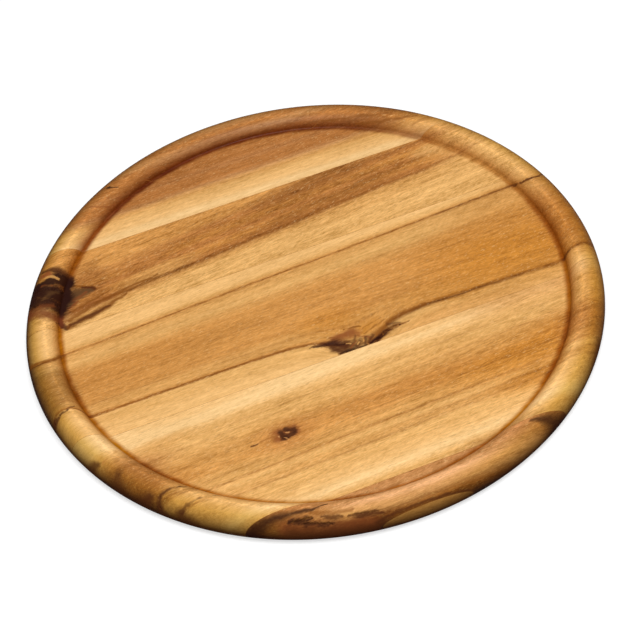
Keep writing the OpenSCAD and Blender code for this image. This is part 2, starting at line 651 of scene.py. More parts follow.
@dataclass(frozen=True)
class OiledWood:
    """Dresses a stave in its wood, under a satin oil."""

    roughness: float = 0.36
    variation: float = 0.10
    gloss: float = 0.11
    ior: float = 1.46
    bump_share: float = 0.6
    # Painted shade on the bead's outside, its warmer tint, and a painted highlight on the bead's crown
    outside: Colour = (0.10, 0.06, 0.03, 1.0)
    soaked: Colour = (1.0, 0.93, 0.54, 1.0)
    crown: Colour = (1.30, 1.30, 1.30, 1.0)

    def make(self, name: str, wood: StaveWood) -> bpy.types.Material:
        """Builds the material of one stave.

        Args:
            name: the material's name.
            wood: where its lines, clouds and knots are.
        Returns:
            The material.
        """
        material = bpy.data.materials.new(name)
        s = Sketch.on(material)
        position = s.millimetres()
        flow = grain_flow(s, position, wood.tilt, wood.fan, wood.sag, wood.rise, wood.rise_fan,
                          wood.twist, wood.waver, wood.seed)
        for bend in wood.bends:
            flow = knot_bend(s, flow, bend.centre, bend.length, bend.width, bend.dip, bend.part)
        fibres = wood_fibres(s, flow, wood.seed)
        grit, pushed = rough_grit(s, position)
        colour = self._tones(s, flow, wood)
        for patch in wood.patches:
            mask = tone_patch(s, flow, (patch.x, patch.y, patch.z), (patch.long, patch.wide, patch.high),
                              patch.soft, patch.ragged, grit)
            colour = s.mix(s.math("*", mask, patch.strength), colour, patch.tone.linear())
        for line in wood.lines:
            mask = growth_line(s, flow, line.place, line.width, line.start, line.end, line.fade,
                               line.skirt)
            colour = s.mix(s.math("*", mask, line.strength), colour, line.tone.linear())
        colour = self._grain(s, colour, fibres, wood)
        # Painted shade in the valley and on the bead's outside, and a painted highlight on the crown,
        # multiplied over the wood
        valley, outside, soaked, crown = turned_edge(s, position)
        for share, tint in ((soaked, self.soaked), (outside, self.outside), (crown, self.crown),
                            (valley, wood.valley)):
            colour = s.mix(share, colour, tint, "MULTIPLY")
        dark: Value = 0.0
        for trail in wood.trails:
            share = s.math("*", self._trail(s, pushed, grit, trail), trail.strength)
            colour = s.mix(share, colour, trail.tone.linear())
            dark = s.math("MAXIMUM", dark, share)
        _, _, streaks, _, fine, pores, _ = fibres
        rough, height = oil_sheen(s, flow, self.roughness, self.variation, streaks, fine, pores, dark,
                                  outside)
        bump = s.node("Bump", Strength=self.bump_share, Distance=MM, Height=height)
        shader = s.node("BsdfPrincipled", IOR=self.ior, Specular_IOR_Level=self.gloss,
                        Base_Color=colour, Roughness=rough, Normal=bump.outputs["Normal"])
        s.finish("Material", shader.outputs["BSDF"])
        return material

    @staticmethod
    def _trail(s: Sketch, pushed: Socket, grit: Socket, trail: Trail) -> Socket:
        """The mask of a streak, over all its stretches."""
        whole: Value = 0.0
        for (*start, wide), (*end, narrow) in zip(trail.stops, trail.stops[1:]):
            mask = dark_stroke(s, pushed, trail.place(*start), trail.place(*end), wide, narrow,
                               trail.soft, trail.ragged, grit)
            whole = s.math("MAXIMUM", whole, mask)
        return whole

    @staticmethod
    def _tones(s: Sketch, flow: Socket, wood: StaveWood) -> Socket:
        """The colours across the stave, with a feathered change between them."""
        _, across, _ = s.split(flow)
        feather = s.swing(flow, (2.6, 1.4, 1.4), 3.0, 0.65, seed=wood.seed + 5.0)
        across = s.math("*+", feather, 2.0 * wood.feather, across)
        low, high = wood.tones[0][0], wood.tones[-1][0]
        ramp = s.node("ValToRGB", s.span(across, low, high))
        elements = ramp.color_ramp.elements
        while len(elements) < len(wood.tones):
            elements.new(1.0)
        for element, (place, tone) in zip(elements, wood.tones):
            element.position = (place - low) / (high - low)
            element.color = tone.linear()
        return ramp.outputs["Color"]

    @staticmethod
    def _grain(s: Sketch, colour: Socket, fibres: Sequence[Socket], wood: StaveWood) -> Socket:
        """Lays figure, bands, streaks, pores and flecks over a colour."""
        figure, bands, streaks, mottle, fine, pores, flecks = fibres
        shade = s.math("*", figure, 0.36 * wood.figure)
        for mark, share in ((bands, 0.32 * wood.figure), (streaks, 0.62 * wood.grain),
                            (mottle, 0.34 * wood.grain), (fine, 0.50 * wood.grain)):
            shade = s.math("*+", mark, share, shade)
        blue = s.node("SeparateColor", colour).outputs["Blue"]
        shade = s.math("*", shade, s.math("*+", blue, -3.8, 1.56))
        level = s.math("+", 1.0, shade)
        warm, cool = (s.math("*+", shade, share, 1.0) for share in (1.2, 1.7))
        grain = s.node("CombineColor", level, warm, cool).outputs["Color"]
        lit = s.mix(1.0, colour, grain, "MULTIPLY")
        lit = s.mix(s.math("*", pores, 0.25), lit, DARK.linear())
        return s.mix(s.math("*", flecks, 0.34), lit, CREAM.linear())


@dataclass(frozen=True)
class GlueFilm:
    """Cured wood glue, a thin brown line flush with the wood."""

    # Painted shade on the bead's outside
    outside: Colour = (0.06, 0.03, 0.02, 1.0)
    roughness: float = 0.7
    gloss: float = 0.05

    def make(self) -> bpy.types.Material:
        """Builds the material, with the same painted shade on the bead's outside as the wood has."""
        material = bpy.data.materials.new("glue")
        s = Sketch.on(material)
        position = s.millimetres()
        cloud = s.noise(position, (5.0, 2.0, 2.0), 2.0, 0.6)
        colour = s.mix(cloud, PEAT.linear(), BROWN.linear())
        # The same painted shade on the bead's outside as on the wood
        _, outside, _, _ = turned_edge(s, position)
        colour = s.mix(outside, colour, self.outside, "MULTIPLY")
        shader = s.node("BsdfPrincipled", Roughness=self.roughness, Specular_IOR_Level=self.gloss,
                        Base_Color=colour)
        s.finish("Material", shader.outputs["BSDF"])
        return material


# ---------------------------------------------------------------------------
# The turned blank and its slices


def only(piece: bpy.types.Object) -> None:
    """Leaves one object selected and active."""
    bpy.ops.object.select_all(action="DESELECT")
    piece.select_set(True)
    bpy.context.view_layer.objects.active = piece


def pick(piece: bpy.types.Object, kind: str, test: Callable[[Any], bool]) -> None:
    """Selects parts of the mesh that is being edited, and nothing else.

    Args:
        piece: the object in edit mode.
        kind: verts, edges or faces.
        test: tells whether a part is to be selected.
    """
    bpy.ops.mesh.select_all(action="DESELECT")
    bpy.context.tool_settings.mesh_select_mode = [kind == each for each in ("verts", "edges", "faces")]
    mesh = bmesh.from_edit_mesh(piece.data)
    for part in getattr(mesh, kind):
        if test(part):
            part.select_set(True)
    if kind == "verts":
        mesh.select_flush(True)
    bmesh.update_edit_mesh(piece.data)


@dataclass
class TurnedBlank:
    """The whole board as it comes from the lathe, before it is shared among the staves."""

    sizes: BoardSizes = SIZES

    def build(self) -> bpy.types.Object:
        """Draws the section, spins it and closes floor and underside.

        Returns:
            The blank, at the origin.
        """
        piece = self._section()
        bpy.ops.mesh.select_all(action="SELECT")
        bpy.ops.mesh.spin(steps=self.sizes.turns, angle=2 * math.pi, center=(0, 0, 0), axis=(0, 0, 1))
        bpy.ops.mesh.select_all(action="SELECT")
        bpy.ops.mesh.remove_doubles(threshold=NEAR)
        for level in (self.sizes.floor_z, 0.0):
            pick(piece, "edges", lambda e: len(e.link_faces) == 1
                 and all(abs(v.co.z - level) < NEAR for v in e.verts))
            bpy.ops.mesh.edge_face_add()
        bpy.ops.mesh.select_all(action="SELECT")
        bpy.ops.mesh.normals_make_consistent(inside=False)
        bpy.ops.object.mode_set(mode="OBJECT")
        return piece

    def _section(self) -> bpy.types.Object:
        """Half of the section: a circle for the bead, cut open and carried on at both ends."""
        sizes = self.sizes
        bpy.ops.object.select_all(action="DESELECT")
        bpy.ops.mesh.primitive_circle_add(vertices=sizes.bead_sides, radius=sizes.bead_r,
                                          location=(0, 0, 0), rotation=(QUARTER, 0, 0))
        piece = bpy.context.object
        piece.name = "blank"
        piece.location = (sizes.bead_x, 0, sizes.bead_z)
        bpy.ops.object.transform_apply(location=True, rotation=True, scale=True)
        bpy.ops.object.mode_set(mode="EDIT")
        step = 2 * math.pi / sizes.bead_sides

        def roll(place: Vector) -> float:
            """Angle of a point round the bead."""
            return math.atan2(place.z - sizes.bead_z, place.x - sizes.bead_x)

        pick(piece, "verts", lambda v: not -step / 4 < roll(v.co) < sizes.touch_angle - step / 4)
        bpy.ops.mesh.delete(type="VERT")
        self._carry_on(piece, sizes.inner_end(), 0)
        self._carry_on(piece, sizes.outer_end(), -1)
        return piece

    @staticmethod
    def _carry_on(piece: bpy.types.Object, points: Sequence[Pair], end: int) -> None:
        """Extrudes an end of the section from point to point.

        Args:
            piece: the section, in edit mode.
            points: distances from the axis and heights.
            end: 0 for the end nearest to the axis, -1 for the farthest.
        """
        mesh = bmesh.from_edit_mesh(piece.data)
        here = sorted((v.co.x, v.co.z) for v in mesh.verts if len(v.link_edges) == 1)[end]
        for there in points:
            pick(piece, "verts", lambda v: abs(v.co.x - here[0]) < HAIR and abs(v.co.z - here[1]) < HAIR)
            bpy.ops.mesh.extrude_region_move(
                TRANSFORM_OT_translate={"value": (there[0] - here[0], 0, there[1] - here[1])})
            here = there


@dataclass
class BoardSlice:
    """One stave or glue line: the slice of the blank between two joints."""

    node: str
    slot: str
    front: float
    back: float
    hollows: tuple[Hollow, ...] = ()
    sizes: BoardSizes = SIZES
    sharp_from: float = 35.0
    cell: float = 0.0004
    floor_margin: float = 0.6
    bead_margin: float = 1.2
    bead_cuts: int = 3

    def build(self, blank: bpy.types.Object) -> bpy.types.Object:
        """Cuts the slice and opens its cracks.

        Args:
            blank: the turned blank.
        Returns:
            The finished piece, riding its body.
        """
        only(blank)
        bpy.ops.object.duplicate(linked=False)
        piece = bpy.context.object
        piece.name = self.node + "_wood"
        piece.data.name = piece.name
        bpy.ops.object.mode_set(mode="EDIT")
        for place, keep_back in ((self.front, True), (self.back, False)):
            if abs(place) < self.sizes.radius:
                bpy.ops.mesh.select_all(action="SELECT")
                bpy.ops.mesh.bisect(plane_co=(0, place, 0), plane_no=(0, 1, 0), use_fill=True,
                                    clear_inner=keep_back, clear_outer=not keep_back,
                                    threshold=HAIR)
        bpy.ops.mesh.select_all(action="SELECT")
        bpy.ops.mesh.remove_doubles(threshold=HAIR)
        for hollow in self.hollows:
            self._open(piece, hollow)
        bpy.ops.mesh.select_all(action="SELECT")
        bpy.ops.mesh.normals_make_consistent(inside=False)
        bpy.ops.object.mode_set(mode="OBJECT")
        only(piece)
        bpy.ops.object.shade_smooth_by_angle(angle=math.radians(self.sharp_from))
        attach(piece, "root")
        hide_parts(self.node)
        return piece

    def _open(self, piece: bpy.types.Object, hollow: Hollow) -> None:
        """Refines the surface round a crack, and sinks it along its own normals."""
        if hollow.place is flat:
            self._cut_patch(piece, hollow)
        else:
            pick(piece, "faces", lambda f: len(f.verts) == 4
                 and hollow.gap(f.calc_center_median() / MM) < hollow.width + self.bead_margin)
            bpy.ops.mesh.subdivide(number_cuts=self.bead_cuts)
        mesh = bmesh.from_edit_mesh(piece.data)
        mesh.normal_update()
        reach = 2.0 * hollow.width + 1.0 + hollow.longest
        moves = []
        for vert in mesh.verts:
            spot = vert.co / MM
            if min((spot - point).length for point in hollow.points) < reach:
                deep = hollow.sink(spot)
                inside = self.front + NEAR < vert.co.y < self.back - NEAR
                if deep > 0 and inside and vert.normal.z > -0.1:
                    moves.append((vert, vert.normal * deep * MM))
        for vert, move in moves:
            vert.co -= move
        bmesh.update_edit_mesh(piece.data)

    def _cut_patch(self, piece: bpy.types.Object, hollow: Hollow) -> None:
        """Cuts a rectangle of the floor free round a crack and lays a fine grid in it."""
        margin = hollow.width + self.floor_margin
        xs, ys = zip(*hollow.stops)
        left, right = (min(xs) - margin) * MM, (max(xs) + margin) * MM
        low = max((min(ys) - margin) * MM, self.front)
        high = min((max(ys) + margin) * MM, self.back)
        columns = max(1, round((right - left) / (high - low)))

        def on_floor(face: bmesh.types.BMFace) -> bool:
            """Tells whether a face belongs to the floor round the rectangle."""
            spots = [v.co for v in face.verts]
            return (face.normal.z > 0.9 and all(abs(p.z - self.sizes.floor_z) < NEAR for p in spots)
                    and max(p.x for p in spots) >= left - NEAR and min(p.x for p in spots) <= right + NEAR
                    and max(p.y for p in spots) >= low - NEAR and min(p.y for p in spots) <= high + NEAR)

        def between(face: bmesh.types.BMFace) -> bool:
            """Tells whether such a face lies between the rectangle's ends."""
            return on_floor(face) and left < face.calc_center_median().x < right

        across = [left + (right - left) * i / columns for i in range(1, columns)]
        for test, place, way in ([(on_floor, (x, 0, 0), (1, 0, 0)) for x in (left, right)]
                                 + [(between, (0, y, 0), (0, 1, 0)) for y in (low, high)]
                                 + [(between, (x, 0, 0), (1, 0, 0)) for x in across]):
            pick(piece, "faces", test)
            bpy.ops.mesh.bisect(plane_co=place, plane_no=way)
        pick(piece, "faces", lambda f: between(f) and low < f.calc_center_median().y < high)
        bpy.ops.mesh.subdivide(number_cuts=max(3, round((high - low) / self.cell)))


# ---------------------------------------------------------------------------
# Floor, lamps and camera


@dataclass(frozen=True)
class Studio:
    """Everything round the board."""

    aim: Point = (-0.00014, -0.0096, 0.0)
    distance: float = 1.031
    azimuth: float = -16.135
    elevation: float = 47.229
    roll: float = -7.423
    focal_px: float = 1865.6
    picture_px: float = 640.0
    sensor_mm: float = 36.0

    def build(self) -> None:
        """Sets up camera, floor, world and lamps."""
        self._camera()
        self._floor()
        self._world()
        self._lamp("overhead", (0.0, -0.42, 1.25), 0.7, 12.6)
        self._lamp("back_light", (0.25, 1.4, 0.75), 0.6, 0.7)
        bpy.context.scene.view_settings.view_transform = "Standard"

    def _camera(self) -> None:
        """Places the camera at the photograph's angle."""
        a, e = math.radians(self.azimuth), math.radians(self.elevation)
        back = Vector((math.sin(a) * math.cos(e), -math.cos(a) * math.cos(e), math.sin(e)))
        data = bpy.data.cameras.new("camera")
        data.sensor_width = self.sensor_mm
        data.lens = self.focal_px * self.sensor_mm / self.picture_px
        data.clip_start, data.clip_end = 0.01, 50.0
        rolled = self._facing(back) @ Matrix.Rotation(math.radians(self.roll), 4, "Z")
        camera = self._hang("camera", data, Vector(self.aim) + back * self.distance, rolled)
        bpy.context.scene.camera = camera

    @staticmethod
    def _facing(back: Vector) -> Matrix:
        """The turn of something that looks against a direction."""
        return back.to_track_quat("Z", "Y").to_matrix().to_4x4()

    @staticmethod
    def _hang(name: str, data: bpy.types.ID, place: Vector, turn: Matrix) -> bpy.types.Object:
        """Puts a camera or lamp in its place."""
        made = bpy.data.objects.new(name, data)
        bpy.context.scene.collection.objects.link(made)
        made.matrix_world = Matrix.Translation(place) @ turn
        return made

    @staticmethod
    def _floor() -> None:
        """Lays a pale floor that shows white to the camera and keeps the shadow."""
        bpy.ops.object.select_all(action="DESELECT")
        bpy.ops.mesh.primitive_plane_add(size=12.0, location=(0, 0, -0.0002))
        floor = bpy.context.object
        floor.name = "studio_floor"
        material = bpy.data.materials.new("studio_floor")
        s = Sketch.on(material)
        rays = s.node("LightPath").outputs
        seen = s.math("+", rays["Is Camera Ray"], rays["Is Glossy Ray"], clamp=True)
        seen = s.math("+", seen, rays["Is Transmission Ray"], clamp=True)
        pale = s.mix(seen, (0.22, 0.22, 0.22, 1), (0.5, 0.5, 0.5, 1))
        diffuse = s.node("BsdfDiffuse", Color=pale).outputs[0]
        glow = s.node("Emission", Color=(1, 1, 1, 1), Strength=s.math("*", seen, 0.62)).outputs[0]
        s.finish("Material", s.node("AddShader", diffuse, glow).outputs[0])
        floor.data.materials.append(material)

    @staticmethod
    def _world() -> None:
        """Soft light from all round, white where the camera sees it."""
        world = bpy.data.worlds.new("studio")
        bpy.context.scene.world = world
        s = Sketch.on(world)
        rays = s.node("LightPath").outputs
        seen = s.math("+", rays["Is Camera Ray"], rays["Is Transmission Ray"], clamp=True)
        _, _, height = s.split(s.node("TexCoord").outputs["Generated"])
        strength = s.math("MAXIMUM", s.span(height, 0.0, 1.0, 0.05, 0.50), seen)
        s.finish("World", s.node("Background", Color=(1, 1, 1, 1), Strength=strength).outputs[0])

    def _lamp(self, name: str, place: Point, size: float, power: float) -> None:
        """Hangs a square soft box that points at the board.

        Args:
            name: its name.
            place: where it hangs.
            size: its side.
            power: its power in watts.
        """
        data = bpy.data.lights.new(name, "AREA")
        data.shape, data.size, data.energy = "SQUARE", size, power
        self._hang(name, data, Vector(place), self._facing(Vector(place)))


# ---------------------------------------------------------------------------
# The seven woods, from the back to the front. Lines and patches lie in the wood's own space, along
# its fibres. A stop of a trail is a place on the floor or the bead, and half the width there.

# A redder painted shade in the valley, for the back staves
RED_VALLEY_SHADE = (0.29, 0.11, 0.02, 1.0)

BACK_EDGE = StaveWood(
    tones=(
        (126, UMBER), (133, BROWN), (140, BROWN), (146, TAN), (152, BROWN), (158, TAN), (164, UMBER),
        (172, UMBER)),
    rise=0.88, waver=1.6, valley=RED_VALLEY_SHADE, seed=1.7,
    lines=(
        Line(136.5, 0.7, 0.5), Line(141.5, 0.6, 0.55, skirt=3), Line(146, 0.6, 0.4),
        Line(150.5, 0.8, 0.5), Line(155, 0.5, 0.35, skirt=3)),
)

BACK = StaveWood(
    tones=(
        (88, SAP), (97, CREAM), (101, SAP), (107.5, GOLD), (110.5, HONEY), (114, TAN), (117, BROWN),
        (119.5, BROWN), (123, BROWN), (126, CLAY), (130, BROWN), (136, BROWN), (144, TAN)),
    rise=0.88, waver=1.3, feather=1.4, figure=1.15, valley=RED_VALLEY_SHADE, seed=3.1,
    lines=(
        Line(110.8, 0.7, 0.3), Line(114.6, 0.6, 0.5, skirt=3), Line(119.5, 0.7, 0.35),
        Line(126, 0.8, 0.5, skirt=2.5), Line(133, 0.7, 0.4), Line(139, 0.6, 0.4)),
    patches=(
        Patch(100, 114, 22, 5, ORANGE, 0.4), Patch(100, 128, 24, 12, UMBER, 0.45, 12),
        Patch(122, 106, 24, 14, AMBER, 0.6, 13)),
    trails=(
        Trail(bead, ((119.4, 106, 0.35), (120.4, 84, 0.9), (121.2, 62, 1.5)), soft=0.45),
        Trail(bead, ((123, 150, 0.5), (126, 118, 0.45), (128, 85, 0.5)), RED, 0.5),
        Trail(bead, ((121, 140, 0.5), (123.5, 105, 0.4)), RED, 0.5),
        Trail(bead, ((122, 168, 0.6), (128, 162, 0.5)), RED, 0.6),
        Trail(bead, ((44, 78, 0.9), (47, 105, 0.9), (52, 132, 0.9), (58, 150, 0.6)), PEAT, 0.7, 0.8),
        Trail(bead, ((50, 92, 0.5), (56, 116, 0.8), (66, 142, 0.6)), PEAT, 0.6, 0.8),
        Trail(bead, ((41, 76, 1.6), (42.5, 100, 1), (44, 124, 0.6)), UMBER, 0.4)),
    hollows=(
        Hollow(bead, ((119.6, 98), (121, 64)), 0.9, 0.9),),
)

RIM_KNOT = StaveWood(
    tones=(
        (28, GOLD), (40, GOLD), (53, GOLD), (56.4, HONEY), (60.6, UMBER), (62.5, BROWN), (67, ORANGE),
        (72, BROWN), (76, ORANGE), (82, BROWN), (87, AMBER), (97, AMBER), (112, AMBER)),
    tilt=0.083, rise=0.7, waver=1.5, feather=1.6, figure=1.5, grain=1.5, seed=5.3,
    lines=(
        Line(61, 1.1, 0.9, -112, 60, PEAT, 2.2), Line(61.3, 0.9, 0.7, 50, 118, skirt=3),
        Line(66, 0.8, 0.4, -112, -60), Line(70.5, 0.8, 0.4, -95, -5), Line(64.5, 0.6, 0.4, -30, 40),
        Line(75, 1, 0.4, -20, 60), Line(79, 0.7, 0.35, -110, -50), Line(84, 0.8, 0.3, -60, 30)),
    patches=(
        Patch(40, 84, 44, 7, UMBER, 0.8), Patch(44, 66, 50, 5, UMBER, 0.7),
        Patch(70, 53, 50, 5, HONEY, 0.7), Patch(-76, 79, 18, 5, BROWN, 0.95),
        Patch(-110, 67, 10, 3.5, BROWN, 0.5), Patch(110, 63, 12, 3.5, ORANGE, 0.5),
        Patch(-72, 65, 22, 5, HONEY, 0.75), Patch(-85, 86, 36, 8, AMBER, 0.5),
        Patch(-108, 78, 10, 14, UMBER, 0.55), Patch(110, 73, 14, 4.5, GOLD, 0.6),
        Patch(156, 60, 40, 80, GOLD, 0.9, 12, soft=0.5),
        Patch(-150, 57, 22, 15, GOLD, 0.95, 12, soft=0.2)),
    trails=(
        Trail(flat, ((-125, 57, 3.2), (-119.5, 62.6, 4.8), (-110.5, 62.4, 2.2)), MOSS, 0.9, 0.6, 1.2),
        Trail(flat, ((-122, 58.5, 1.2), (-113, 61.8, 0.8)), RED, 0.6, 0.7, 1.4),
        Trail(flat, ((-119.5, 70.4, 1), (-113.6, 66.4, 1), (-107.8, 62.6, 1.2)), PEAT, 0.85, 0.9, 1.2),
        Trail(flat, ((-114.6, 66.2, 0.5), (-108.4, 62.8, 1.1)), WINE, 0.8, 0.8, 1.2),
        Trail(flat, ((-128, 48.2, 3.6), (-112, 50.6, 2.6), (-98, 52.6, 1.2)), RED, 0.35, 0.9, 1.4),
        Trail(flat, ((-128, 44.6, 1.3), (-121, 47.6, 1.2), (-113.7, 50, 1), (-103.7, 52.2, 1),
              (-94.3, 53.6, 0.9), (-84, 55.2, 0.8), (-72, 56.2, 0.4)), PEAT, 0.8, 0.8, 0.9),
        Trail(flat, ((-130.6, 53, 1.5), (-132.9, 46, 1.4), (-133.3, 41.4, 1.5), (-131, 39.6, 1.4),
              (-128.6, 41.2, 0.8)), WINE, soft=0.6, ragged=0.8),
        Trail(flat, ((-129, 40.6, 2), (-124, 42.2, 2), (-117, 42.8, 2), (-108.7, 45, 2),
              (-99.3, 48.3, 1.5), (-92.5, 50.6, 0.5)), PEAT, 0.9, 0.8, 0.9),
        Trail(flat, ((-129, 40.8, 1.1), (-121, 42.4, 1.1), (-112, 44.2, 1.1), (-104, 46.6, 0.4)),
              WINE, 0.7, 0.8, 0.9),
        Trail(flat, ((-126, 50.6, 0.9), (-117, 52.6, 0.8), (-110, 54.6, 0.7), (-98, 57.6, 0.4)),
              PEAT, 0.75, 0.7, 1.2),
        Trail(flat, ((-126, 54, 1), (-119, 57, 0.6)), RED, 0.8, ragged=1.2),
        Trail(bead, ((147.4, 165, 2.8), (147.6, 110, 2.6), (148.2, 60, 1.2)), DARK, 0.9, 0.6, 1),
        Trail(bead, ((160.8, 170, 4), (160.6, 110, 3.6), (159.8, 50, 4.4)), RUSSET, 0.85, 0.7, 1.4),
        Trail(flat, ((-119.8, 73, 1.9), (-126, 60.2, 2.2), (-129.6, 54, 1.6)),
              strength=0.95, soft=0.4, ragged=0.7),
        Trail(bead, ((149.2, 162, 5), (149.8, 120, 4.6), (151.6, 90, 2.2), (152.6, 55, 3)),
              strength=0.97, soft=0.4, ragged=0.8),
        Trail(bead, ((153.8, 160, 6.2), (154, 120, 6), (154.2, 90, 5.8), (154, 55, 6),
              (153.6, 20, 6.2)), strength=0.97, ragged=0.9),
        Trail(bead, ((157.6, 156, 5.2), (157.2, 120, 4.8), (157.4, 90, 4.6), (156.8, 55, 4.6),
              (156, 20, 4.4)), strength=0.96, soft=0.6, ragged=1.2),
        Trail(bead, ((161.4, 172, 0.9), (162.2, 146, 0.4)), DARK, 0.85, 0.7),
        Trail(bead, ((149.6, 122, 0.9), (149.6, 98, 1.2), (149.8, 84, 1)), HONEY, 0.8, 0.6, 1.4),
        Trail(bead, ((149, 84, 1.8), (149.6, 66, 1.6)), RED, 0.9, 0.6, 1),
        Trail(bead, ((153, 140, 1), (154.4, 110, 1.6), (156.4, 92, 0.8)), ASH, 0.22, 0.9, 2),
        Trail(bead, ((157.6, 128, 1.6), (158.4, 84, 1.8)), RED, 0.45, 0.9, 2),
        Trail(bead, ((152, 112, 0.5), (152.6, 76, 0.7)), RED, 0.5, 0.8, 1.8)),
    hollows=(
        Hollow(bead, ((152.6, 160), (153, 125), (153.4, 90), (154, 55)), 1.3, 0.8),
        Hollow(bead, ((157, 150), (157.2, 110), (158, 70), (158.6, 45)), 1.1, 0.7),
        Hollow(bead, ((149, 100), (149.6, 68)), 0.7, 0.4)),
)

